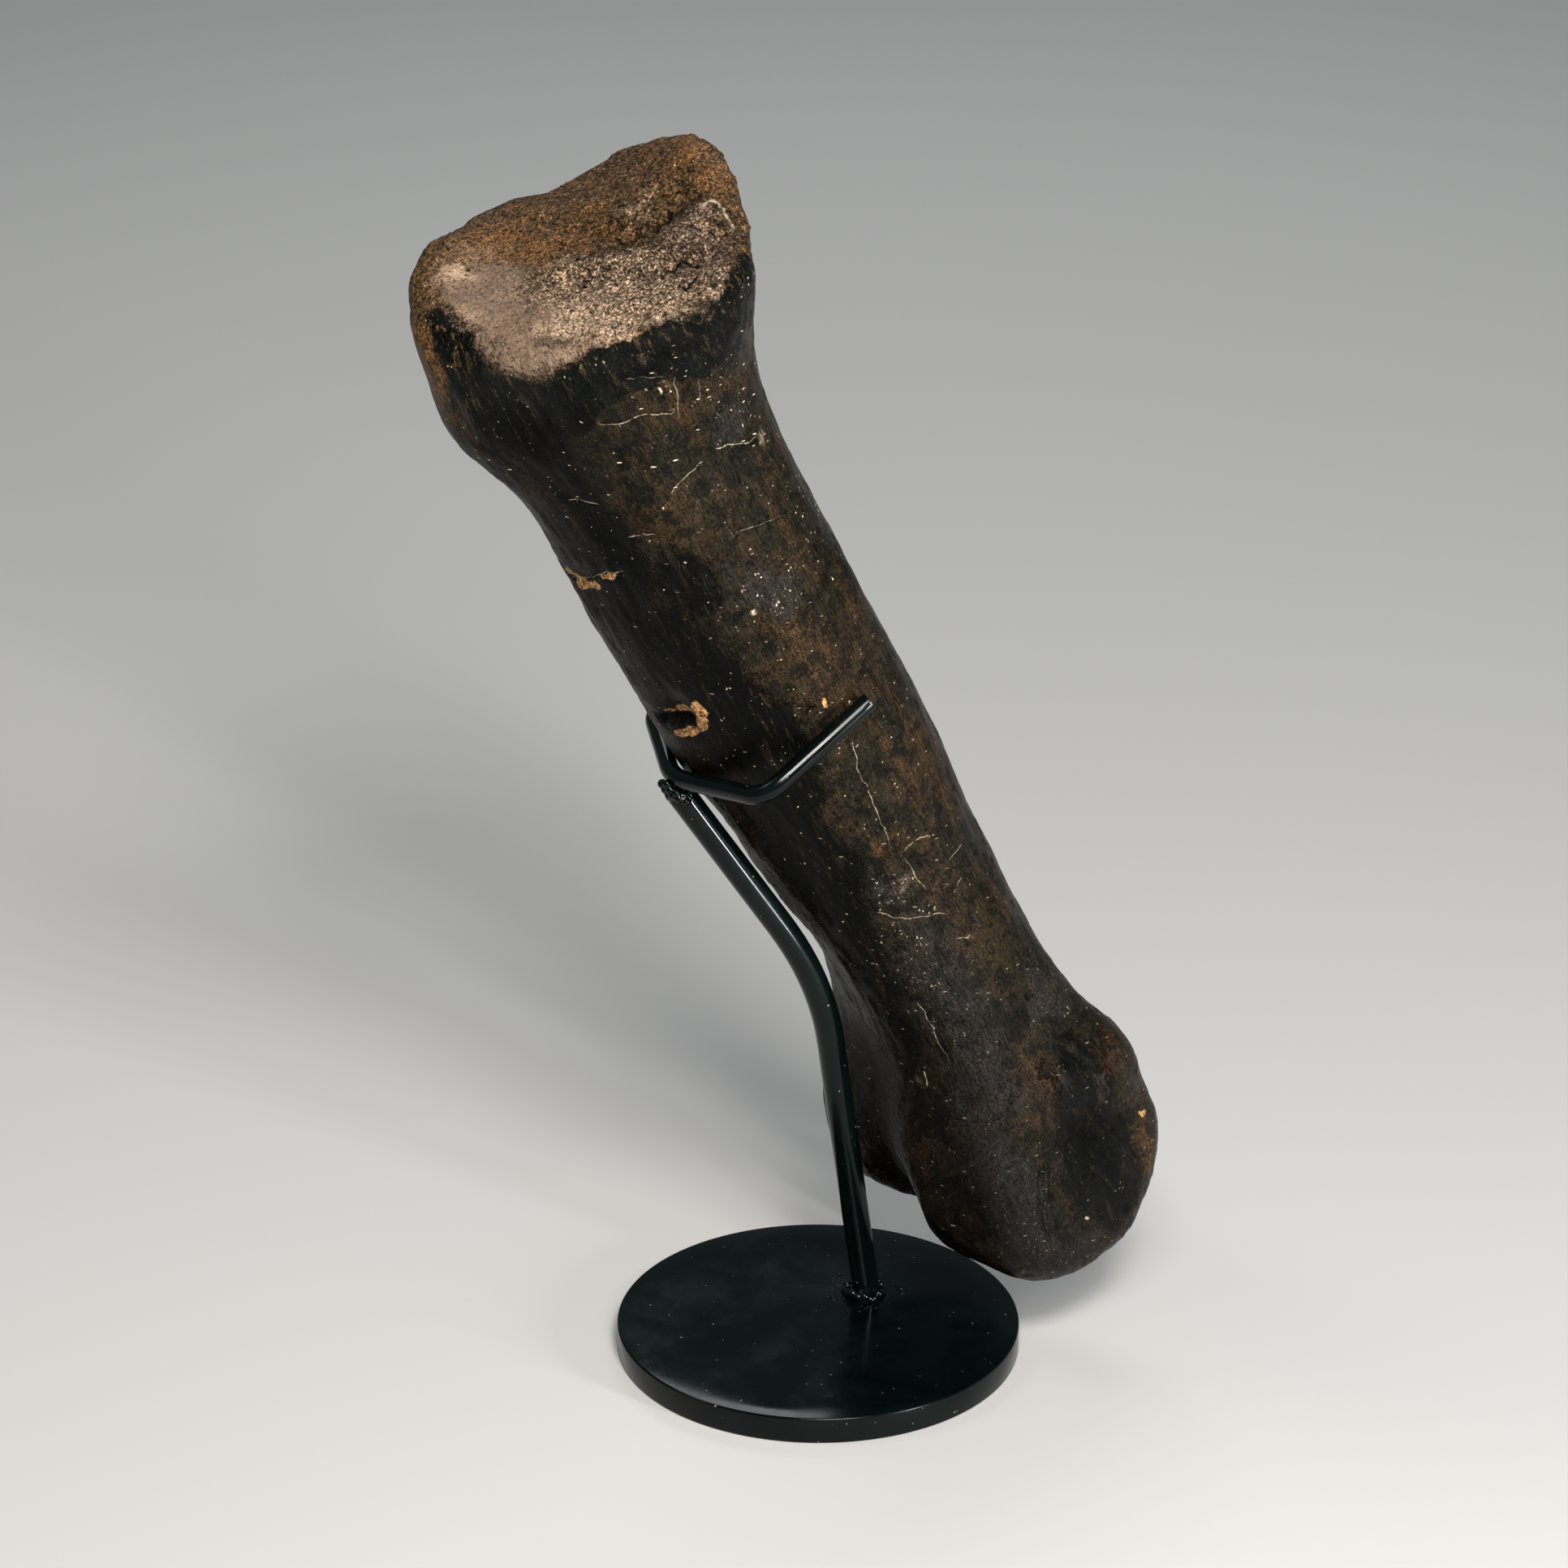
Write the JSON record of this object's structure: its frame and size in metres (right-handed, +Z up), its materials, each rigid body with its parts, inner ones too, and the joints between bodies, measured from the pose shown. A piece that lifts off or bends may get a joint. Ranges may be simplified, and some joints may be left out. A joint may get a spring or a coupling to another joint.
{
  "type": "fossil dinosaur foot bone on a stand",
  "caption": "Leaning fossil dinosaur foot bone with a dished joint face and rounded knuckles, cradled by a bent rod on a post and round foot plate.",
  "frame": {"origin": "centre of the underside of the round foot plate, where the stand rests", "axes": "+Z up. The bone leans towards -X as it rises, with its joint face at the top. -Y is the front, the side of the pitted knuckle and the higher tip of the cradle. +X is the side the knuckles stick out to."},
  "size_m": [0.2492, 0.1625, 0.4329],
  "materials": {
    "fossil_bone": "mineralised bone, dark brown to black with ochre and grey mottling, sealed to a soft gloss",
    "black_paint": "gloss black paint on steel"
  },
  "bodies": {
    "root": {"bone": "fossil_bone", "cradle": "black_paint", "post": "black_paint", "base_disc": "black_paint"}
  },
  "joints": []
}
